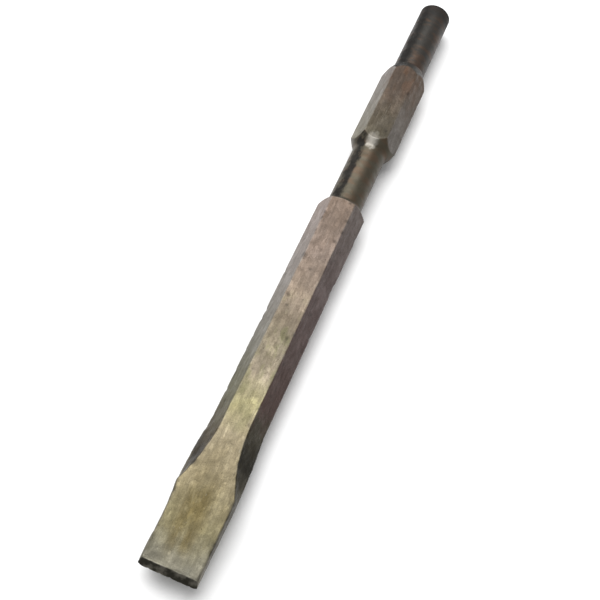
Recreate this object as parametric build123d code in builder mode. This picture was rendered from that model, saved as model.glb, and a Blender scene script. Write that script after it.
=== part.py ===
from build123d import *
import os
from math import radians, sqrt, tan

# Cold chisel for an electric demolition hammer with a hexagonal tool holder.
#
# It is one piece of tool steel. A rolled hexagon bar is drawn out hot into a flat wedge blade at one
# end, and turned on a lathe at the other. From the cutting edge to the struck end it has:
#   cutting bevels   ground on both faces of the blade
#   blade            flat wedge, a little wider at its root than at its edge
#   flare            where the forging spreads the hexagon into the blade
#   body             the bar as rolled
#   neck             turned groove that the hammer's retainer drops into
#   drive collar     the hexagon left standing, which the hammer's nose stops from turning
#   round shank      guided in the hammer, and struck on its end
#
# Frame: millimetres. +X runs from the cutting edge to the struck end, and +Z is up. The chisel lies on
# one flat of its hexagon. The origin is on the surface that it lies on, under the middle of its length.

# Sizes of the bar
overall_length = 304.8
hex_across_flats = 19.05
bar_edge_radius = 0.8

# Sizes of the turned end
round_shank_diameter = 15.1
round_shank_length = 43.0
struck_end_chamfer = 1.6
shank_cone_angle = 25.0
collar_length = 41.0
collar_cone_angle = 30.0
neck_diameter = 15.4
neck_length = 33.0
neck_fillet = 3.0
shoulder_angle = 60.0

# Sizes of the forged end. A blade's side is crowned: it stands out by side_crown at mid thickness. In the
# flare, face_taper says how early the faces narrow: 1 is evenly, and more is sooner past the blade's root.
edge_width = 23.5
blade_root_width = 24.8
blade_length = 33.0
flare_length = 31.0
blade_tip_thickness = 3.2
blade_root_thickness = 11.8
blade_edge_radius = 1.1
side_crown = 0.5
flare_stations = 11
face_taper = 2.4

# Sizes of the ground edge. The bevel angle is measured from the tool's axis.
bevel_angle = 35.0
edge_land = 0.3

# Sizes that follow
half_flats = hex_across_flats / 2
hex_corner_radius = hex_across_flats / sqrt(3)
half_hex_face = hex_corner_radius / 2
shank_radius = round_shank_diameter / 2
neck_radius = neck_diameter / 2
forged_length = blade_length + flare_length
wedge_slope = (blade_root_thickness - blade_tip_thickness) / 2 / blade_length
bevel_slope = tan(radians(bevel_angle))
bevel_length = (blade_tip_thickness - edge_land) / 2 / (bevel_slope - wedge_slope)

# Turned stations, measured from the cutting edge. A cone's foot is on the cylinder beside it, and its
# top is where it meets the sharp corners of the hexagon.
shank_cone_foot = overall_length - round_shank_length
collar_end = shank_cone_foot - (hex_corner_radius - shank_radius) / tan(radians(shank_cone_angle))
collar_start = collar_end - collar_length
neck_end = collar_start - (hex_corner_radius - neck_radius) / tan(radians(collar_cone_angle))
neck_start = neck_end - neck_length
body_end = neck_start - (hex_corner_radius - neck_radius) / tan(radians(shoulder_angle))

# The tool's own axis, and the plane that its turned profiles are drawn on
tool_axis = Axis((0, 0, half_flats), (1, 0, 0))
cutting_edge = Vector(-overall_length / 2, 0, half_flats)
side_plane = Plane(cutting_edge, x_dir=(1, 0, 0), z_dir=(0, -1, 0))


def cross_plane(from_edge):
    """The plane across the tool at a distance from the cutting edge, with its X along the frame's Y."""
    return Plane(cutting_edge + Vector(from_edge, 0, 0), x_dir=(0, 1, 0), z_dir=(1, 0, 0))


def mix(start, end, share):
    """The value at a share of the way from start to end."""
    return start + (end - start) * share


def smooth(share):
    """Eases a share from 0 to 1, level at both ends."""
    return share * share * (3 - 2 * share)


def forged_section(from_edge):
    """The forging's section at a distance from the cutting edge, up to the flare's end.

    In the flare it turns from the blade's section into the hexagon. Its faces narrow quickly past the
    blade's root, while its sides hold their width until near the end. Its thickness leaves the blade at
    the wedge's slope, and ends level with the hexagon's flats.
    """
    along_blade = min(from_edge / blade_length, 1)
    past_root = min(max((from_edge - blade_length) / flare_length, 0), 1)
    blade_width = mix(edge_width, blade_root_width, along_blade)
    blade_thickness = mix(blade_tip_thickness, blade_root_thickness, along_blade)
    wedge_run_on = wedge_slope * flare_length * past_root * (1 - past_root) ** 2
    half_width = mix(blade_width / 2, hex_corner_radius, smooth(past_root**2))
    half_face = mix(blade_width / 2 - side_crown, half_hex_face, 1 - (1 - past_root) ** face_taper)
    half_thickness = mix(blade_thickness / 2, half_flats, smooth(past_root)) + wedge_run_on
    corner_radius = mix(blade_edge_radius, bar_edge_radius, past_root)
    with BuildSketch(cross_plane(from_edge)) as section:
        Polygon(
            (half_face, half_thickness),
            (-half_face, half_thickness),
            (-half_width, 0),
            (-half_face, -half_thickness),
            (half_face, -half_thickness),
            (half_width, 0),
            align=None,
        )
        fillet(section.vertices(), corner_radius)
    return section.sketch


with BuildPart() as chisel:
    # Body, neck, collar and shank start as the bar, sawn to length.
    extrude(forged_section(forged_length), amount=overall_length - forged_length)

    # Blade: a plain wedge with flat faces.
    loft([forged_section(0), forged_section(blade_length)], ruled=True)

    # Flare: the section eases from the blade's to the hexagon's.
    flare_step = flare_length / (flare_stations - 1)
    loft([forged_section(blade_length + flare_step * station) for station in range(flare_stations)])

    # Neck: a groove turned between the body's shoulder and the collar's cone.
    with BuildSketch(side_plane) as neck_cut:
        with BuildLine():
            Polyline(
                (body_end, hex_corner_radius),
                (neck_start, neck_radius),
                (neck_end, neck_radius),
                (collar_start, hex_corner_radius),
                close=True,
            )
        make_face()
        fillet(neck_cut.vertices().group_by(Axis.Y)[0], neck_fillet)
    revolve(axis=tool_axis, mode=Mode.SUBTRACT)

    # Round shank: turned down from the collar's other cone to the chamfered struck end.
    with BuildSketch(side_plane) as shank_cut:
        with BuildLine():
            Polyline(
                (collar_end, hex_corner_radius),
                (shank_cone_foot, shank_radius),
                (overall_length - struck_end_chamfer, shank_radius),
                (overall_length, shank_radius - struck_end_chamfer),
                (overall_length, hex_corner_radius),
                close=True,
            )
        make_face()
    revolve(axis=tool_axis, mode=Mode.SUBTRACT)

    # Cutting bevels, ground on both faces down to the edge's narrow land. The grinding wheel's path runs
    # on past the blade's faces.
    grinding_length = 2 * bevel_length
    grinding_height = edge_land / 2 + grinding_length * bevel_slope
    with BuildSketch(side_plane) as grinding:
        with BuildLine():
            Polyline(
                (0, edge_land / 2),
                (grinding_length, grinding_height),
                (0, grinding_height),
                close=True,
            )
        make_face()
        mirror(about=Plane.XZ)
    extrude(amount=edge_width, both=True, mode=Mode.SUBTRACT)

chisel.part.label = "chisel"
os.makedirs("parts", exist_ok=True)
export_step(chisel.part, "parts/chisel.step")
print(f"bevel {bevel_length:.1f}, body {forged_length:.1f} to {body_end:.1f}")
print(f"neck {neck_start:.1f} to {neck_end:.1f}, collar {collar_start:.1f} to {collar_end:.1f}")
print(f"shank from {shank_cone_foot:.1f}")
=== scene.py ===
from math import cos, pi, radians, sin, sqrt, tan
from typing import NamedTuple

import bpy
import numpy as np
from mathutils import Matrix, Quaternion, Vector, noise


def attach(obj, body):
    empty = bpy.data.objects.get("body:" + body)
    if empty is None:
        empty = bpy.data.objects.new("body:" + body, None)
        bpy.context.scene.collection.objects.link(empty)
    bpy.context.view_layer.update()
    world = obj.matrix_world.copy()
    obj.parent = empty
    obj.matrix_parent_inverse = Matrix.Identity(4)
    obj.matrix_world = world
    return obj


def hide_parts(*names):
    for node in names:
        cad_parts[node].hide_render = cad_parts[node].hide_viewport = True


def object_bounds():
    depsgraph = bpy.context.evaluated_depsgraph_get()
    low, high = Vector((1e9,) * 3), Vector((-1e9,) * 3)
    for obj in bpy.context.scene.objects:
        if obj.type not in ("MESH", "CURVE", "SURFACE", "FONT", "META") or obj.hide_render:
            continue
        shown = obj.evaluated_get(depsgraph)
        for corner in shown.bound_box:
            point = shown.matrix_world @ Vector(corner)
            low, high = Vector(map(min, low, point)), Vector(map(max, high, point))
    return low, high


# The cold chisel's looks: one dense mesh that stands for the CAD solid, with the marks of forging,
# rolling, turning, grinding and wear in its surface. Lengths are metres, written as millimetres times MM.
# "From the edge" is a distance along the tool from its cutting edge.

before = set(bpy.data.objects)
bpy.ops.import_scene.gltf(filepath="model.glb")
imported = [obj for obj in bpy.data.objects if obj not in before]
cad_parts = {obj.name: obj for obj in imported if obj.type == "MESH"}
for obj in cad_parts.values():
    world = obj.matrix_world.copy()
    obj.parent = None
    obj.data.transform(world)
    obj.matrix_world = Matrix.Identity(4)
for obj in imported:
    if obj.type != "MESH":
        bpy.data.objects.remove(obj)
cad_low, cad_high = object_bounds()
MM = 0.001

# Sizes of the CAD solid. Its box gives the length, the widest place and the size across the flats.
overall_length = cad_high.x - cad_low.x
hex_across_flats = cad_high.z - cad_low.z
blade_root_width = cad_high.y - cad_low.y
round_shank_diameter = 15.1 * MM
round_shank_length = 43.0 * MM
struck_end_chamfer = 1.6 * MM
shank_cone_angle = radians(25)
collar_length = 41.0 * MM
collar_cone_angle = radians(30)
neck_diameter = 15.4 * MM
neck_length = 33.0 * MM
neck_fillet = 3.0 * MM
shoulder_angle = radians(60)
edge_width = 23.5 * MM
blade_length = 33.0 * MM
flare_length = 31.0 * MM
face_taper = 2.4
blade_tip_thickness = 3.2 * MM
blade_root_thickness = 11.8 * MM
blade_edge_radius = 1.1 * MM
bar_edge_radius = 0.8 * MM
side_crown = 0.5 * MM
bevel_angle = radians(35)
edge_land = 0.3 * MM

# Sizes that follow
axis_height = hex_across_flats / 2
hex_corner_radius = hex_across_flats / sqrt(3)
neck_radius = neck_diameter / 2
shank_radius = round_shank_diameter / 2
forged_length = blade_length + flare_length
wedge_slope = (blade_root_thickness - blade_tip_thickness) / 2 / blade_length
shank_cone_foot = overall_length - round_shank_length
collar_end = shank_cone_foot - (hex_corner_radius - shank_radius) / tan(shank_cone_angle)
collar_start = collar_end - collar_length
neck_end = collar_start - (hex_corner_radius - neck_radius) / tan(collar_cone_angle)
neck_start = neck_end - neck_length
body_end = neck_start - (hex_corner_radius - neck_radius) / tan(shoulder_angle)

# How finely the mesh follows the surface: its columns on each corner and flat of the bar, the points on
# each of the neck's fillets, and its rows. A stretch of rows is where it ends from the edge, and its count.
corner_points = 6
wide_flat_points = 26
narrow_flat_points = 14
profile_arc_points = 24
row_stretches = (
    (4 * MM, 24), (blade_length, 60), (forged_length, 66), (body_end - 1 * MM, 178),
    (neck_start + 3 * MM, 24), (neck_end - 2 * MM, 52), (collar_start + 2 * MM, 32),
    (collar_end - 2 * MM, 70), (shank_cone_foot + 1 * MM, 32), (overall_length - 2 * MM, 80),
    (overall_length, 12),
)

# The struck face's rings, as shares of its radius, and its masks
struck_rings = (0.86, 0.72, 0.58, 0.44, 0.3, 0.16, 0.06)
struck_face_masks = {"flank": 0.0, "turned": 1.0, "ground": 0.0, "dented": 0.0, "worn": 0.6}

# How softly one kind of surface gives way to the next
side_face_start = 0.9 * MM
side_face_border = 1.6 * MM
turned_rounding = 0.12 * MM
turned_border = 0.08 * MM
bevel_rounding = 0.05 * MM
bevel_border = 0.04 * MM
forging_border = 40 * MM

# Marks in the surface. Each one goes in from the CAD surface, so nothing stands proud of it. Hollows have
# a size, octaves of finer hollows, a stretch along the axes, and an offset that picks their places. The
# gain brings the deepest ones to about 1, which is then the depth given for them.
hollow_gain = 1.6
hammer_waves = {"size": 9 * MM, "octaves": 2}
hammer_wave_depth = 0.26 * MM
scale_hollows = {"size": 2.4 * MM, "octaves": 4, "offset": 31.7}
scale_depth = 0.09 * MM
scale_share_on_bar = 0.35
rolling_streaks = {"size": 1.1 * MM, "octaves": 3, "stretch": (26, 1, 1), "offset": 11.3}
rolling_depth = 0.05 * MM
lathe_chatter = {"size": 3.5 * MM, "octaves": 2, "stretch": (1, 6, 6), "offset": 5.1}
chatter_depth = 0.03 * MM
struck_dents = {"size": 1.8 * MM, "octaves": 3, "offset": 3.3}
struck_dent_depth = 0.12 * MM
struck_middle_depth = 0.05 * MM

# Dings, from a seed: how many, their radius in millimetres, and their depth as a share of the radius. They
# start at a distance from the edge, and each reaches no more than a few rows.
ding_seed = 7
dings_from = 8 * MM
ding_row_reach = 12
corner_dings = {"count": 90, "radii": (0.6, 2.4), "depths": (0.05, 0.16)}
face_dings = {"count": 110, "radii": (0.5, 1.3), "depths": (0.06, 0.14)}

# The cutting edge's worn corners, as side, depth and width, and its nicks, as place across, width and depth
worn_corners = ((1, 0.7 * MM, 2.6 * MM), (-1, 0.5 * MM, 1.8 * MM))
edge_nicks = (
    (-9.1 * MM, 0.8 * MM, 0.22 * MM), (-5.6 * MM, 0.5 * MM, 0.12 * MM), (-1.3 * MM, 1.2 * MM, 0.3 * MM),
    (2.9 * MM, 0.6 * MM, 0.16 * MM), (7.4 * MM, 0.9 * MM, 0.26 * MM),
)
worn_reach = 6 * MM

# The blade's +Y side, drawn in between two places from the edge
drawn_in_from = 5 * MM
drawn_in_to = 38 * MM
drawn_in_depth = 0.7 * MM

# How edge wear is found: its span in rows and columns, and how often it is averaged with its neighbours
wear_span = 2
wear_blurs = 2

# Colours, as linear red, green and blue. The scale's tints follow each other along the bar: a place from
# the cutting edge as a share of the length, and the tint there. The bar's top and bottom, its +Y side and
# its -Y side have their own, because the side faces kept more of their scale, and because their tints
# also hold painted shade and light: painted shade darkens the -Y side and the flare's cheeks, and painted
# light makes the +Y side paler up the body and both sides of the collar paler than its top.
top_tints = (
    # Blade: grey where use rubbed it, then gold, and tan up to the flare
    (0.00, (0.172, 0.165, 0.132)), (0.06, (0.165, 0.143, 0.078)), (0.13, (0.198, 0.164, 0.098)),
    (0.19, (0.240, 0.202, 0.132)),
    # Body: olive past the flare, then brown, and plum brown up to the neck
    (0.225, (0.224, 0.202, 0.108)), (0.27, (0.205, 0.172, 0.126)), (0.32, (0.134, 0.113, 0.078)),
    (0.40, (0.162, 0.126, 0.094)), (0.47, (0.146, 0.112, 0.090)), (0.56, (0.124, 0.090, 0.068)),
    # Collar: dark brown
    (0.70, (0.052, 0.044, 0.029)), (0.78, (0.058, 0.044, 0.033)), (0.84, (0.050, 0.034, 0.024)),
)
# The +Y side face: scale tints with painted shade on the flare and painted light up the body and collar
left_tints_with_painted_light_and_shade = (
    # Blade's side: grey, and nearly black with painted shade along the flare
    (0.02, (0.200, 0.185, 0.150)), (0.125, (0.090, 0.078, 0.056)), (0.15, (0.018, 0.014, 0.009)),
    (0.18, (0.050, 0.038, 0.022)),
    # Body: olive grey, getting paler with painted light
    (0.25, (0.100, 0.094, 0.060)), (0.34, (0.148, 0.138, 0.116)), (0.45, (0.188, 0.166, 0.150)),
    (0.56, (0.215, 0.174, 0.154)),
    # Collar: grey brown, paler than its top with painted light
    (0.70, (0.155, 0.142, 0.110)), (0.84, (0.165, 0.148, 0.136)),
)
# The -Y side face: scale tints with painted shade, and painted light on the collar
right_tints_with_painted_light_and_shade = (
    # Blade's side: grey, and nearly black with painted shade along the flare
    (0.02, (0.120, 0.110, 0.090)), (0.12, (0.040, 0.034, 0.020)), (0.155, (0.012, 0.010, 0.005)),
    (0.20, (0.034, 0.028, 0.016)),
    # Body: dark red brown, darkened with painted shade, getting paler
    (0.24, (0.060, 0.036, 0.030)), (0.40, (0.082, 0.058, 0.054)), (0.56, (0.106, 0.085, 0.076)),
    # Collar: grey brown, paler than its top with painted light, and browner at the shank
    (0.70, (0.112, 0.100, 0.088)), (0.84, (0.092, 0.066, 0.048)),
)
gold_tint = (0.112, 0.086, 0.034, 1)
olive_tint = (0.122, 0.118, 0.056, 1)
rust_tint = (0.095, 0.050, 0.028, 1)
neck_tint = (0.061, 0.053, 0.037, 1)
shank_tint = (0.013, 0.012, 0.010, 1)
shank_painted_light_tint = (0.040, 0.037, 0.033, 1)
# Dark tint for dents and specks, and for painted shade
grime_and_painted_shade_tint = (0.006, 0.005, 0.004, 1)
# The ground bevel: blackened steel darkened further with painted shade for its dark reflection, with patches
# of painted sheen
bevel_tint = (0.034, 0.032, 0.025, 1)
bevel_painted_sheen = (0.120, 0.112, 0.092, 1)
tip_tint = (0.126, 0.117, 0.090, 1)
# Bare steel, which also paints the glint on the collar's cone
bare_steel_and_glint_tint = (0.340, 0.320, 0.285, 1)
flake_lift = (1.28, 1.30, 1.33, 1)


class Pattern(NamedTuple):
    """Noise that the material paints with.

    Its features have a size in metres, layers of finer detail, and a stretch along the axes. Shift picks
    another part of the same noise. As patches, it turns smoothly from start to end while the noise goes
    from low to high. As a wander, it moves something by up to half its reach either way.
    """

    size: float
    detail: float = 3
    stretch: tuple = (1, 1, 1)
    shift: float = 0
    low: float = 0.3
    high: float = 0.7
    start: float = 0
    end: float = 1
    reach: float = 0


# Where the scale's tints change, and how ragged their borders are
tint_border = Pattern(11 * MM, 2, reach=16 * MM)
side_tint_border = Pattern(2.6 * MM, 5, (1.6, 1, 1), 71.0, reach=18 * MM)
side_face_edge = Pattern(3 * MM, 4, (2.5, 1, 1), 27.0, reach=0.9)
side_tint_lean = 0.45
side_tint_height = 14 * MM
side_seam = 1 * MM
side_face_fade = (0.3, 0.8)

# Patches of other tints. A band is where it starts, where it ends and how soft it is, from the edge.
gold_streaks = Pattern(5 * MM, 6, (3, 1, 1), 4.2, low=0.36, high=0.6, start=0.35)
gold_band = (9 * MM, 36 * MM, 14 * MM)
gold_middle = 1 * MM
gold_fade = (1.5 * MM, 8 * MM)
gold_share = 0.95
olive_patches = Pattern(6 * MM, 3, (2.2, 1, 1), 8.8, low=0.48, high=0.62)
olive_band = (60 * MM, 118 * MM, 16 * MM)
olive_share = 0.55
rust_patches = Pattern(5 * MM, 3, (2, 1, 1), 12.6, low=0.42, high=0.68)
rust_fade = (225 * MM, 252 * MM)
rust_share = 0.5

# The scale's texture
flakes = Pattern(4.5 * MM, 7, (2, 1, 1), 17.3, low=0.535, high=0.565)
flake_share = 0.4
dent_share = 0.5
mottle = Pattern(1.4 * MM, 3, (2.5, 1, 1), 21.0, start=0.94, end=1.06)
rolled_lines = Pattern(0.8 * MM, 3, (22, 1, 1), 13.0, start=0.9, end=1.1)
grain = Pattern(0.32 * MM, 4, (1.5, 1, 1), 61.0, start=0.85, end=1.15)
pits = Pattern(1.1 * MM, 3, (1.6, 1, 1), 30.0, low=0.35, high=0.6)
specks = Pattern(0.6 * MM, 2, (1.4, 1, 1), 52.0, low=0.70, high=0.74)
speck_share = 0.6
scratches = Pattern(0.35 * MM, 2, (34, 1, 1), 41.0, low=0.69, high=0.75)
scratch_share = 0.3
tip_border = Pattern(4 * MM, 4, (2, 1, 1), 44.0, reach=16 * MM)
tip_fade = (2 * MM, 12 * MM)
tip_lines = Pattern(0.3 * MM, 3, (26, 1, 1), 46.0, start=0.5, end=0.9)
rubbed_edges = Pattern(3 * MM, 4, shift=5.5, low=0.42, high=0.62)
rubbed_share = 0.2
rubbed_share_on_shank = 0.2

# Two ragged spots on top of the bar, by their middle from the edge and along Y, and their reach each way:
# a painted glint where the collar's cone meets the top flat, and a painted shadow by the blade's +Y edge
spot_edge = Pattern(2.2 * MM, 4, shift=1.4, reach=2.4)
spot_fade = (0.1, 1.7)
spot_top_fade = 4 * MM
# Painted glint: bare steel's colour where the collar's cone meets the top flat
painted_glint_spot = ((210 * MM, 0.4 * MM), (4.2 * MM, 2.5 * MM))
painted_glint_share = 0.85
painted_glint_share_on_scale = 0.3
# Painted shadow on the blade's +Y edge near the tip
painted_shadow_smudge = ((8.5 * MM, 10.2 * MM), (4 * MM, 1.3 * MM))
painted_shadow_share = 0.5

# The turned and the ground parts. Leans are the Y of a unit normal: 1 faces the +Y side.
# Painted light: the shank's -Y side is paler
shank_painted_light_lean = (-0.5, 0.4)
stains = Pattern(3 * MM, 4, (1, 2.5, 2.5), 6.1, low=0.42, high=0.66)
stain_share = 0.4
# Painted shade: dark streaks down the +Y side of the turned parts, broken into runs; the struck end goes
# darker
shade_streak_edge = Pattern(2.6 * MM, 4, (1.6, 1, 1), 9.4, reach=0.6)
shade_streak_lean_band = (0.34, 0.76, 0.2)
shade_streak_runs = Pattern(3.6 * MM, 3, (1.5, 1, 1), 33.0, low=0.3, high=0.46)
shade_and_dark_end_share = 0.94
struck_end_dark_fade = (291 * MM, 301 * MM)
struck_end_dark_share = 0.8
bevel_patches = Pattern(3.5 * MM, shift=7.7, low=0.42, high=0.62)
grinding_lines = Pattern(0.15 * MM, 3, (30, 1, 30), 19.0)
lathe_pitch = 0.45 * MM
lathe_drift = Pattern(6 * MM, 2, shift=2.0)
lathe_drift_reach = 3.0

# How metallic each surface looks, and how rough it is
scale_metal = Pattern(4.5 * MM, 3, (2, 1, 1), 22.0, low=0.35, high=0.65, start=0.35, end=0.65)
turned_metal = 0.6
shade_and_dark_end_metal = 0.1
ground_metal = 0.9
tip_metal = 0.85
scale_rough = Pattern(2 * MM, 3, (2, 1, 1), 15.0, start=0.46, end=0.64)
turned_rough = Pattern(2.2 * MM, 4, (1, 3, 3), 12.0, start=0.36, end=0.52)
flake_smoothness = 0.06
tip_smoothness = 0.12
ground_smoothness = 0.15
shade_and_dark_end_roughness = 0.3
steel_specular = 0.2

# Heights of the relief that is too fine for the mesh
pit_relief = 0.022 * MM
grain_relief = 0.02 * MM
flake_relief = -0.03 * MM
rolled_relief = 0.035 * MM
scored_relief = -0.02 * MM
lathe_relief = 0.006 * MM
grinding_relief = 0.02 * MM


def arc_points(before, corner, after, radius, count):
    """Points along the arc of a radius that rounds a corner, from the leg before it to the leg after."""
    back = (before - corner) / np.linalg.norm(before - corner)
    ahead = (after - corner) / np.linalg.norm(after - corner)
    half_angle = np.arccos(np.clip(back @ ahead, -1, 1)) / 2
    middle = (back + ahead) / np.linalg.norm(back + ahead)
    centre = corner + middle * radius / sin(half_angle)
    start = corner + back * radius / tan(half_angle) - centre
    end = corner + ahead * radius / tan(half_angle) - centre
    turn = pi - 2 * half_angle
    shares = np.linspace(0, 1, count)[:, None]
    return centre + (np.sin((1 - shares) * turn) * start + np.sin(shares * turn) * end) / sin(turn)


def smooth_least(a, b, blend):
    """The lesser of two values, rounded over where they cross."""
    share = np.clip(0.5 + 0.5 * (b - a) / blend, 0, 1)
    return b + (a - b) * share - blend * share * (1 - share)


def ease(share):
    """Eases a share from 0 to 1, level at both ends."""
    share = np.clip(share, 0, 1)
    return share * share * (3 - 2 * share)


def mix(start, end, share):
    """The value at a share of the way from start to end."""
    return start + (end - start) * share


def flat_points(corner):
    """How many columns the flat after a corner has. The top and the bottom flat have more."""
    return wide_flat_points if corner in (1, 4) else narrow_flat_points


def forged_section(from_edge):
    """The bar's rounded outline at a distance from the cutting edge, as (y, z) points about its axis."""
    along_blade = min(from_edge / blade_length, 1)
    past_root = min(max((from_edge - blade_length) / flare_length, 0), 1)
    blade_width = mix(edge_width, blade_root_width, along_blade)
    blade_thickness = mix(blade_tip_thickness, blade_root_thickness, along_blade)
    wedge_run_on = wedge_slope * flare_length * past_root * (1 - past_root) ** 2
    half_width = mix(blade_width / 2, hex_corner_radius, ease(past_root**2))
    narrowed = 1 - (1 - past_root) ** face_taper
    half_face = mix(blade_width / 2 - side_crown, hex_corner_radius / 2, narrowed)
    half_thickness = mix(blade_thickness / 2, hex_across_flats / 2, ease(past_root)) + wedge_run_on
    radius = mix(blade_edge_radius, bar_edge_radius, past_root)
    corners = np.array([
        (half_width, 0), (half_face, half_thickness), (-half_face, half_thickness),
        (-half_width, 0), (-half_face, -half_thickness), (half_face, -half_thickness),
    ])
    arcs = []
    for before, corner, after in zip(np.roll(corners, 1, axis=0), corners, np.roll(corners, -1, axis=0)):
        arcs.append(arc_points(before, corner, after, radius, corner_points))
    outline = []
    for k, arc in enumerate(arcs):
        shares = np.linspace(0, 1, flat_points(k) + 2)[1:-1, None]
        outline.append(arc)
        outline.append(mix(arc[-1], arcs[(k + 1) % len(arcs)][0], shares))
    return np.concatenate(outline)


def corner_columns():
    """The middle column of each of the six corners."""
    columns = []
    first = 0
    for k in range(6):
        columns.append(first + corner_points // 2)
        first += corner_points + flat_points(k)
    return columns


def turned_profile():
    """The lathe's path as (distance from the edge, radius) points: groove, then shank and chamfer."""
    clear = 2 * hex_corner_radius
    rise = clear - hex_corner_radius
    body_top = np.array([body_end, hex_corner_radius])
    neck_left = np.array([neck_start, neck_radius])
    neck_right = np.array([neck_end, neck_radius])
    collar_top = np.array([collar_start, hex_corner_radius])
    return np.vstack([
        (body_end - rise / tan(shoulder_angle), clear),
        arc_points(body_top, neck_left, neck_right, neck_fillet, profile_arc_points),
        arc_points(neck_left, neck_right, collar_top, neck_fillet, profile_arc_points),
        (collar_start + rise / tan(collar_cone_angle), clear),
        (collar_end - rise / tan(shank_cone_angle), clear),
        (shank_cone_foot, shank_radius),
        (overall_length - struck_end_chamfer, shank_radius),
        (overall_length, shank_radius - struck_end_chamfer),
    ])


def stations():
    """The rows' distances from the cutting edge, closer together where the shape turns quickly."""
    start = 0
    stretches = []
    for end, rows in row_stretches:
        stretches.append(np.linspace(start, end, rows))
        start = end
    return np.unique(np.concatenate(stretches))


def hollows(points, size, octaves, stretch=(1, 1, 1), offset=0.0):
    """Noise from 0, on about half of the surface, to about 1 in hollows of a size that may be stretched."""
    scaled = points.reshape(-1, 3) / (size * np.array(stretch)) + offset
    fade, step = 1.0, 2.0
    values = np.array([noise.fractal(Vector(p), fade, step, octaves) for p in scaled])
    return np.clip(hollow_gain * values, 0, 1).reshape(points.shape[:-1])


def grid_normals(points):
    """Outward unit normals of the grid of rows along the bar and columns around it."""
    around = np.roll(points, -1, axis=1) - np.roll(points, 1, axis=1)
    along = np.gradient(points, axis=0)
    normals = np.cross(around, along)
    return normals / np.linalg.norm(normals, axis=2, keepdims=True)


def ridge(points, before, after, normals):
    """How sharply the surface turns outward at each point, per metre."""
    height = np.sum((points - (before + after) / 2) * normals, axis=2)
    return 2 * height / np.maximum(np.sum((after - before) ** 2, axis=2) / 4, 1e-12)


def edge_wear(points, normals):
    """A share from 0 to 1 that is highest on the outer corners and edges."""
    behind = np.roll(points, wear_span, axis=1)
    ahead = np.roll(points, -wear_span, axis=1)
    around = ridge(points, behind, ahead, normals)
    row = np.arange(len(points))
    ahead = points[np.minimum(row + wear_span, len(points) - 1)]
    behind = points[np.maximum(row - wear_span, 0)]
    along = ridge(points, behind, ahead, normals)
    along[:wear_span] = 0
    along[-wear_span:] = 0
    worn = np.clip(np.maximum(around, along) * bar_edge_radius, 0, 1)
    for _ in range(wear_blurs):
        worn = (np.roll(worn, 1, axis=1) + worn + np.roll(worn, -1, axis=1)) / 3
        worn[1:-1] = (worn[:-2] + worn[1:-1] + worn[2:]) / 3
    return worn


def shape_rows(along):
    """The plain surface as (row, column) points about the axis, with masks of its kinds of surface.

    The masks are the side faces, what the lathe turned and what the wheel ground.
    """
    rows = np.array([forged_section(x) for x in along])
    face_edge = rows[:, corner_columns()[1], 0][:, None]
    flank = ease((np.abs(rows[:, :, 0]) - face_edge + side_face_start) / side_face_border)
    profile = turned_profile()
    limit = np.interp(along, profile[:, 0], profile[:, 1])[:, None]
    reach = np.linalg.norm(rows, axis=2)
    turned_reach = smooth_least(reach, limit, turned_rounding)
    turned = np.clip((reach - turned_reach) / turned_border, 0, 1)
    rows *= (turned_reach / reach)[:, :, None]

    bevel_height = (edge_land / 2 + along * tan(bevel_angle))[:, None]
    height = np.abs(rows[:, :, 1])
    ground_height = smooth_least(height, bevel_height, bevel_rounding)
    ground = np.clip((height - ground_height) / bevel_border, 0, 1)
    rows[:, :, 1] = np.sign(rows[:, :, 1]) * ground_height
    return rows, {"flank": flank, "turned": turned, "ground": ground}


def press_hollows(points, normals, masks, along):
    """Presses the marks of the hammer, the scale, the rolls and the lathe into the surface."""
    turned = masks["turned"]
    raw = (1 - turned) * (1 - masks["ground"])
    forged = ease((forged_length + forging_border / 2 - along) / forging_border)[:, None] * raw
    depth = forged * hammer_wave_depth * hollows(points, **hammer_waves)
    depth += mix(scale_share_on_bar, 1, forged) * raw * scale_depth * hollows(points, **scale_hollows)
    depth += (1 - forged) * raw * rolling_depth * hollows(points, **rolling_streaks)
    depth += turned * chatter_depth * hollows(points, **lathe_chatter)
    points -= normals * depth[:, :, None]


def draw_in_side(points, along):
    """Draws the blade's +Y side in a little along its middle, as one side of a forging often is."""
    share = np.clip((along - drawn_in_from) / (drawn_in_to - drawn_in_from), 0, 1)
    hollow = np.sin(share * pi) ** 2
    points[:, :, 1] -= drawn_in_depth * hollow[:, None] * np.clip(points[:, :, 1] / (edge_width / 2), 0, 1)


def wear_edge(points, along):
    """Moves the cutting edge back at its worn corners and its nicks."""
    y = points[:, :, 1]
    back = np.zeros(y.shape)
    for side, depth, reach in worn_corners:
        into_corner = np.clip((side * y - (edge_width / 2 - reach)) / reach, 0, 1)
        back += depth * into_corner ** 2
    for middle, width, depth in edge_nicks:
        back += depth * np.exp(-((y - middle) / (width / 2)) ** 2)
    fade = np.clip(1 - along / worn_reach, 0, 1)[:, None] ** 2
    points[:, :, 0] += back * fade


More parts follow.
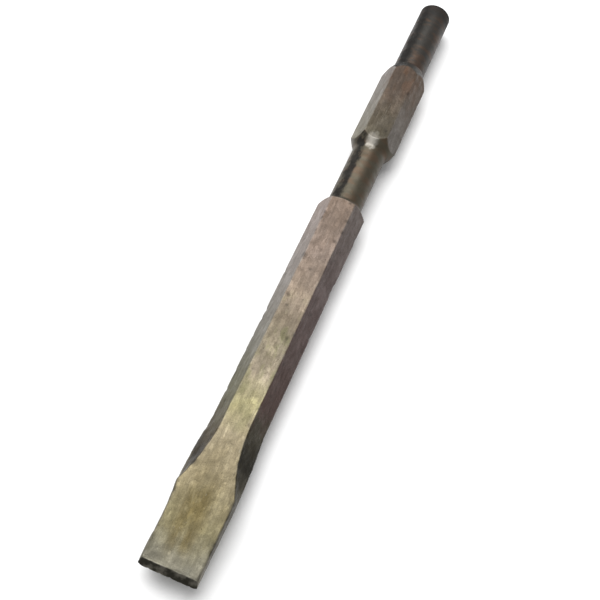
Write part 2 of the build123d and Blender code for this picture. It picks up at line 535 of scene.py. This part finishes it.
def press_dings(points, normals, masks, along):
    """Dents the unworked hexagon's corners, then its faces. Returns how deep each point went, as a share."""
    raw = (1 - masks["turned"]) * (1 - masks["ground"])
    rng = np.random.default_rng(ding_seed)
    dented = np.zeros(points.shape[:2])
    for dings, columns in ((corner_dings, corner_columns()), (face_dings, range(points.shape[1]))):
        for _ in range(dings["count"]):
            from_edge = rng.uniform(dings_from, collar_end)
            column = columns[rng.integers(len(columns))]
            radius = rng.uniform(*dings["radii"]) * MM
            depth = rng.uniform(*dings["depths"]) * radius
            row = np.searchsorted(along, from_edge)
            near = slice(max(row - ding_row_reach, 0), row + ding_row_reach)
            distance = np.linalg.norm(points[near] - points[row, column], axis=2)
            dent = np.clip(1 - (distance / radius) ** 2, 0, 1) ** 2 * raw[near]
            points[near] -= normals[near] * (depth * dent)[:, :, None]
            dented[near] = np.maximum(dented[near], dent)
    return dented


def strips(row, next_row):
    """Faces between two rows of vertices that run around the bar."""
    return np.stack([row, next_row, np.roll(next_row, -1), np.roll(row, -1)], -1)


def close_edge(columns):
    """Faces between the upper and the lower half of the first row, along the cutting edge's land."""
    upper = np.arange(corner_points // 2, corner_points // 2 + columns // 2 - 1)
    lower = (corner_points - 1 - upper) % columns
    return np.stack([upper, upper + 1, (lower - 1) % columns, lower], -1)


def build_mesh():
    """The chisel's surface as a grid closed at both ends: vertices, faces and masks at the vertices."""
    along = stations()
    rows, masks = shape_rows(along)
    columns = rows.shape[1]
    points = np.empty((len(along), columns, 3))
    points[:, :, 0] = (along - overall_length / 2)[:, None]
    points[:, :, 1] = rows[:, :, 0]
    points[:, :, 2] = rows[:, :, 1] + axis_height

    normals = grid_normals(points)
    press_hollows(points, normals, masks, along)
    draw_in_side(points, along)
    wear_edge(points, along)
    masks["dented"] = press_dings(points, normals, masks, along)
    masks["worn"] = edge_wear(points, grid_normals(points))
    masks = {name: values.ravel() for name, values in masks.items()}

    verts = points.reshape(-1, 3)
    grid = np.arange(len(verts)).reshape(len(along), columns)
    quads = [strips(row, next_row) for row, next_row in zip(grid, grid[1:])]
    quads.append(close_edge(columns))

    # The struck face: smaller and smaller rings, and a vertex in the middle
    centre = np.array([overall_length / 2, 0, axis_height])
    ring = grid[-1]
    for share in struck_rings:
        inner = np.arange(len(verts), len(verts) + columns)
        circle = centre + (points[-1] - centre) * share
        circle[:, 0] -= struck_dent_depth * hollows(circle, **struck_dents)
        verts = np.vstack([verts, circle])
        quads.append(strips(ring, inner))
        ring = inner
    middle = len(verts)
    verts = np.vstack([verts, centre - (struck_middle_depth, 0, 0)])
    triangles = np.stack([ring, np.full(columns, middle), np.roll(ring, -1)], -1)
    faces = np.concatenate(quads).tolist() + triangles.tolist()
    added = len(verts) - grid.size
    for name, value in struck_face_masks.items():
        masks[name] = np.append(masks[name], np.full(added, value))
    return verts, faces, masks


def make_piece(name, material):
    """The chisel's own piece, with its masks as attributes that the material reads."""
    verts, faces, masks = build_mesh()
    mesh = bpy.data.meshes.new(name)
    mesh.from_pydata(verts.tolist(), [], faces)
    mesh.update()
    for mask, values in masks.items():
        mesh.attributes.new(mask, "FLOAT", "POINT").data.foreach_set("value", values.astype(np.float32))
    mesh.shade_smooth()
    mesh.materials.append(material)
    piece = bpy.data.objects.new(name, mesh)
    bpy.context.scene.collection.objects.link(piece)
    return piece


class Shading:
    """Builds one material's nodes. Each input takes a plain value or another node's output."""

    def __init__(self, name):
        self.material = bpy.data.materials.new(name)
        self.material.use_nodes = True
        self.tree = self.material.node_tree
        self.shader = self.tree.nodes["Principled BSDF"]
        self.place = self.node("ShaderNodeTexCoord").outputs["Object"]
        self.noises = {}

    def put(self, socket, value):
        if isinstance(value, bpy.types.NodeSocket):
            self.tree.links.new(value, socket)
        else:
            socket.default_value = value

    def node(self, kind, inputs=(), **settings):
        made = self.tree.nodes.new(kind)
        for name, value in settings.items():
            setattr(made, name, value)
        for key, value in dict(inputs).items():
            self.put(made.inputs[key], value)
        return made

    def mask(self, name):
        return self.node("ShaderNodeAttribute", attribute_name=name).outputs["Fac"]

    def part_of(self, vector, letter):
        return self.node("ShaderNodeSeparateXYZ", {0: vector}).outputs[letter]

    def math(self, operation, a, b=0.0, c=0.0, clamp=False):
        inputs = {0: a, 1: b, 2: c}
        return self.node("ShaderNodeMath", inputs, operation=operation, use_clamp=clamp).outputs[0]

    def plus(self, a, b):
        return self.math("ADD", a, b)

    def minus(self, a, b):
        return self.math("SUBTRACT", a, b)

    def times(self, *values):
        product = values[0]
        for value in values[1:]:
            product = self.math("MULTIPLY", product, value)
        return product

    def greatest(self, *values):
        most = values[0]
        for value in values[1:]:
            most = self.math("MAXIMUM", most, value)
        return most

    def step(self, value, low, high, start=0.0, end=1.0):
        """Turns smoothly from start to end as the value goes from low to high."""
        inputs = {"Value": value, "From Min": low, "From Max": high, "To Min": start, "To Max": end}
        return self.node("ShaderNodeMapRange", inputs, interpolation_type="SMOOTHSTEP").outputs[0]

    def band(self, value, low, high, soft):
        """1 where the value is between low and high, and 0 outside, with soft edges."""
        rise = self.step(value, low - soft / 2, low + soft / 2)
        return self.times(rise, self.step(value, high - soft / 2, high + soft / 2, 1, 0))

    def mix(self, share, a, b, blend="MIX"):
        inputs = {0: share, 6: a, 7: b}
        return self.node("ShaderNodeMix", inputs, data_type="RGBA", blend_type=blend).outputs[2]

    def noise(self, pattern):
        """A pattern's plain noise, from 0 to 1."""
        if pattern not in self.noises:
            scale = [1 / (pattern.size * stretch) for stretch in pattern.stretch]
            shift = (pattern.shift,) * 3
            where = self.node("ShaderNodeMapping", {"Vector": self.place, "Scale": scale, "Location": shift})
            inputs = {"Vector": where.outputs[0], "Scale": 1.0, "Detail": pattern.detail, "Roughness": 0.55}
            self.noises[pattern] = self.node("ShaderNodeTexNoise", inputs).outputs["Fac"]
        return self.noises[pattern]

    def patches(self, pattern):
        """A pattern's noise, turned from start to end. The closer low and high, the crisper the patches."""
        return self.step(self.noise(pattern), pattern.low, pattern.high, pattern.start, pattern.end)

    def wander(self, pattern):
        """A pattern's noise about 0, by up to half of its reach either way."""
        return self.math("MULTIPLY_ADD", self.noise(pattern), pattern.reach, -pattern.reach / 2)

    def ramp(self, value, stops):
        """A colour that goes through the stops, each a place from 0 to 1 and a colour."""
        made = self.node("ShaderNodeValToRGB", {0: value})
        elements = made.color_ramp.elements
        while len(elements) < len(stops):
            elements.new(0.5)
        for element, (place, colour) in zip(elements, stops):
            element.position = place
            element.color = (*colour, 1)
        return made.outputs["Color"]

    def bump(self, height, depth, onto=None):
        """Raises the surface by up to a depth in metres, on top of another bump."""
        inputs = {"Height": height, "Distance": depth, "Strength": 1.0}
        if onto is not None:
            inputs["Normal"] = onto
        return self.node("ShaderNodeBump", inputs).outputs[0]


class Steel(Shading):
    """Forged and turned tool steel, with its scale, tints, painted light and shade, ground bevels and worn
    edges.
    """

    def __init__(self, name):
        super().__init__(name)
        self.turned = self.mask("turned")
        self.ground = self.mask("ground")
        self.worn = self.mask("worn")
        self.dented = self.mask("dented")
        self.raw = self.minus(1.0, self.greatest(self.turned, self.ground))
        self.across = self.part_of(self.place, "Y")
        self.height = self.part_of(self.place, "Z")
        self.from_edge = self.plus(self.part_of(self.place, "X"), overall_length / 2)
        normal = self.node("ShaderNodeTexCoord").outputs["Normal"]
        self.to_left = self.part_of(normal, "Y")

        # What several looks of the surface share
        self.flaked = self.patches(flakes)
        self.specked = self.times(self.raw, self.patches(specks))
        tip_place = self.plus(self.from_edge, self.wander(tip_border))
        self.tip = self.times(self.raw, self.step(tip_place, *tip_fade, 1, 0))
        self.shade_and_dark_end = self.painted_shade_and_dark_end()
        self.bare = self.bare_metal()

    def painted_shade_and_dark_end(self):
        """Painted shade: dark streaks down the +Y side of the turned parts, broken into runs, and darker
        towards the struck end.
        """
        lean = self.plus(self.to_left, self.wander(shade_streak_edge))
        runs = self.times(self.band(lean, *shade_streak_lean_band), self.patches(shade_streak_runs))
        return self.greatest(runs, self.step(self.from_edge, *struck_end_dark_fade, 0, struck_end_dark_share))

    def bare_metal(self):
        """Where scratches, and the edges that rub, show bare metal."""
        rubbed = self.times(self.worn, self.patches(rubbed_edges))
        along = self.step(self.from_edge, neck_end, shank_cone_foot, 1, rubbed_share_on_shank)
        scratched = self.times(self.raw, self.patches(scratches))
        return self.greatest(
            self.times(rubbed, along, rubbed_share),
            self.times(scratched, scratch_share),
        )

    def spot(self, middle, reach):
        """1 in a ragged spot on top of the bar, and 0 outside."""
        along = self.math("DIVIDE", self.minus(self.from_edge, middle[0]), reach[0])
        across = self.math("DIVIDE", self.minus(self.across, middle[1]), reach[1])
        distance = self.math("MULTIPLY_ADD", along, along, self.times(across, across))
        away = self.plus(distance, self.wander(spot_edge))
        on_top = self.step(self.height, axis_height, axis_height + spot_top_fade)
        return self.times(self.step(away, *spot_fade, 1, 0), on_top)

    def face_tints(self, place):
        """The top's and the bottom's tints at a place along the bar, with patches of gold and of olive."""
        off_middle = self.math("ABSOLUTE", self.minus(self.across, gold_middle))
        near_middle = self.step(off_middle, *gold_fade, 1, 0)
        gold = self.times(self.band(self.from_edge, *gold_band), near_middle, self.patches(gold_streaks))
        colour = self.mix(self.times(gold, gold_share), self.ramp(place, top_tints), gold_tint)
        olive = self.times(self.band(self.from_edge, *olive_band), self.patches(olive_patches))
        return self.mix(self.times(olive, olive_share), colour, olive_tint)

    def side_tints_with_painted_light_and_shade(self, place):
        """The side faces' tints, with painted light and shade in them. Their borders lean and are ragged, as
        heat leaves them.
        """
        lean = self.math("MULTIPLY_ADD", self.height, side_tint_lean, -side_tint_lean * side_tint_height)
        shift = self.math("DIVIDE", self.plus(self.wander(side_tint_border), lean), overall_length)
        side_place = self.plus(place, shift)
        left = self.step(self.across, -side_seam, side_seam)
        return self.mix(left, self.ramp(side_place, right_tints_with_painted_light_and_shade), self.ramp(side_place, left_tints_with_painted_light_and_shade))

    def scale_tints(self):
        """The tints of the forged and rolled surface, which follow the bar, with painted light and shade on
        the side faces and rust on the collar.
        """
        wandering = self.plus(self.from_edge, self.wander(tint_border))
        place = self.math("DIVIDE", wandering, overall_length)
        side_face = self.step(self.plus(self.mask("flank"), self.wander(side_face_edge)), *side_face_fade)
        # The side faces take tints that hold painted light and shade
        colour = self.mix(side_face, self.face_tints(place), self.side_tints_with_painted_light_and_shade(place))
        rust = self.times(self.step(self.from_edge, *rust_fade), self.patches(rust_patches))
        return self.mix(self.times(rust, rust_share), colour, rust_tint)

    def scale_colour(self):
        """The scale, with its flakes, dents and lines. Use has rubbed it off the blade's tip. A painted
        shadow darkens the blade's +Y edge near the tip.
        """
        colour = self.scale_tints()
        lifted = self.mix(1.0, colour, flake_lift, "MULTIPLY")
        colour = self.mix(self.times(self.flaked, flake_share), colour, lifted)
        colour = self.mix(self.times(self.dented, dent_share), colour, grime_and_painted_shade_tint)
        shade = self.times(self.patches(mottle), self.patches(rolled_lines), self.patches(grain))
        grey = self.node("ShaderNodeCombineColor", {0: shade, 1: shade, 2: shade}).outputs[0]
        colour = self.mix(1.0, colour, grey, "MULTIPLY")
        colour = self.mix(self.times(self.tip, self.patches(tip_lines)), colour, tip_tint)
        colour = self.mix(self.times(self.specked, speck_share), colour, grime_and_painted_shade_tint)
        # Painted shadow near the tip's +Y edge
        return self.mix(self.times(self.spot(*painted_shadow_smudge), painted_shadow_share), colour, grime_and_painted_shade_tint)

    def turned_colour(self):
        """Turned steel with a dark film, darkest on the shank. Painted light brightens the shank's -Y side,
        and painted shade streaks run down the +Y side.
        """
        # Painted light on the shank's -Y side
        shank = self.mix(self.step(self.to_left, *shank_painted_light_lean), shank_painted_light_tint, shank_tint)
        film = self.mix(self.step(self.from_edge, collar_start, shank_cone_foot), neck_tint, shank)
        colour = self.mix(self.patches(stains), film, self.mix(stain_share, film, rust_tint))
        # Painted shade streaks down the +Y side, and the darker struck end
        return self.mix(self.times(self.shade_and_dark_end, shade_and_dark_end_share), colour, grime_and_painted_shade_tint)

    def colour(self):
        """The scale, the turned parts, the painted glint, the ground bevels, and bare metal over them all.
        """
        colour = self.mix(self.turned, self.scale_colour(), self.turned_colour())
        # Painted glint on the collar's cone and the flat beside it
        glint_share = self.step(self.turned, 0, 1, painted_glint_share_on_scale, painted_glint_share)
        colour = self.mix(self.times(self.spot(*painted_glint_spot), glint_share), colour, bare_steel_and_glint_tint)
        # The bevel's dark tint is partly painted shade, and its paler patches are painted sheen
        bevel = self.mix(self.patches(bevel_patches), bevel_tint, bevel_painted_sheen)
        colour = self.mix(self.ground, colour, bevel)
        return self.mix(self.bare, colour, bare_steel_and_glint_tint)

    def metal(self):
        """How metallic the surface looks. Scale, the painted shade streaks and the darker struck end dull
        it.
        """
        return self.greatest(
            self.times(self.raw, self.patches(scale_metal)),
            self.times(self.turned, self.step(self.shade_and_dark_end, 0, 1, turned_metal, shade_and_dark_end_metal)),
            self.times(self.ground, ground_metal),
            self.times(self.tip, tip_metal),
            self.bare,
        )

    def roughness(self):
        """Scale is the roughest, then the turned parts, then the ground bevels."""
        smoother = self.plus(self.times(self.flaked, flake_smoothness), self.times(self.tip, tip_smoothness))
        scale = self.minus(self.patches(scale_rough), smoother)
        turned = self.plus(self.patches(turned_rough), self.times(self.shade_and_dark_end, shade_and_dark_end_roughness))
        rough = self.plus(self.times(scale, self.minus(1.0, self.turned)), self.times(turned, self.turned))
        return self.math("SUBTRACT", rough, self.times(self.ground, ground_smoothness), clamp=True)

    def relief(self):
        """Relief too fine for the mesh: scale, rolling lines, the lathe's rings and the grinding lines."""
        drift = self.times(self.noise(lathe_drift), lathe_drift_reach)
        rings = self.math("SINE", self.math("MULTIPLY_ADD", self.from_edge, 2 * pi / lathe_pitch, drift))
        scored = self.plus(self.times(self.tip, self.noise(tip_lines)), self.specked)
        surface = None
        for height, depth in (
            (self.times(self.raw, self.patches(pits)), pit_relief),
            (self.times(self.raw, self.noise(grain)), grain_relief),
            (self.times(self.raw, self.flaked), flake_relief),
            (self.times(self.raw, self.noise(rolled_lines)), rolled_relief),
            (scored, scored_relief),
            (self.times(self.turned, rings), lathe_relief),
            (self.times(self.ground, self.noise(grinding_lines)), grinding_relief),
        ):
            surface = self.bump(height, depth, surface)
        return surface


def steel_material():
    """The steel's material, with everything that varies over the surface linked to its shader."""
    steel = Steel("forged_steel")
    steel.put(steel.shader.inputs["Base Color"], steel.colour())
    steel.put(steel.shader.inputs["Metallic"], steel.metal())
    steel.put(steel.shader.inputs["Roughness"], steel.roughness())
    steel.put(steel.shader.inputs["Normal"], steel.relief())
    steel.put(steel.shader.inputs["Specular IOR Level"], steel_specular)
    return steel.material


def make_floor():
    """A plain, pale and dull floor, six metres wide."""
    bpy.ops.mesh.primitive_plane_add(size=6)
    floor = bpy.context.object
    floor.name = "floor"
    material = bpy.data.materials.new("floor")
    material.use_nodes = True
    shader = material.node_tree.nodes["Principled BSDF"]
    shader.inputs["Base Color"].default_value = (0.85, 0.85, 0.85, 1)
    shader.inputs["Roughness"].default_value = 0.9
    shader.inputs["Specular IOR Level"].default_value = 0.2
    floor.data.materials.append(material)


def make_camera():
    """The camera looks down along the tool from beside its cutting end."""
    azimuth = radians(-76.93)
    elevation = radians(60.69)
    roll = radians(10.70)
    target = Vector((-27.8, -0.3, 9.525)) * MM
    distance = 415.8 * MM
    data = bpy.data.cameras.new("camera")
    data.lens = 60
    data.sensor_width = 36
    data.clip_start = 10 * MM
    camera = bpy.data.objects.new("camera", data)
    bpy.context.scene.collection.objects.link(camera)
    back = Vector((sin(azimuth) * cos(elevation), -cos(azimuth) * cos(elevation), sin(elevation)))
    camera.location = target + back * distance
    camera.rotation_mode = "QUATERNION"
    camera.rotation_quaternion = (-back).to_track_quat("-Z", "Y") @ Quaternion((0, 0, 1), roll)
    bpy.context.scene.camera = camera


def make_softbox(name, direction, distance, width, power):
    """A square softbox at a distance from the object, facing it."""
    data = bpy.data.lights.new(name, "AREA")
    data.shape = "SQUARE"
    data.size = width
    data.energy = power
    light = bpy.data.objects.new(name, data)
    towards = Vector(direction).normalized()
    light.location = towards * distance
    light.rotation_mode = "QUATERNION"
    light.rotation_quaternion = (-towards).to_track_quat("-Z", "Y")
    bpy.context.scene.collection.objects.link(light)


def make_light():
    """One large softbox over the tool's +Y side, in an evenly grey surrounding."""
    make_softbox("key", direction=(0.38, 0.30, 0.9), distance=2.2, width=2.4, power=84)
    world = bpy.data.worlds.new("world")
    world.use_nodes = True
    background = world.node_tree.nodes["Background"]
    background.inputs["Color"].default_value = (1, 1, 1, 1)
    background.inputs["Strength"].default_value = 0.5
    bpy.context.scene.world = world
    bpy.context.scene.view_settings.view_transform = "Standard"


chisel = make_piece("chisel_steel", steel_material())
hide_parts("chisel")
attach(chisel, "root")

make_floor()
make_camera()
make_light()
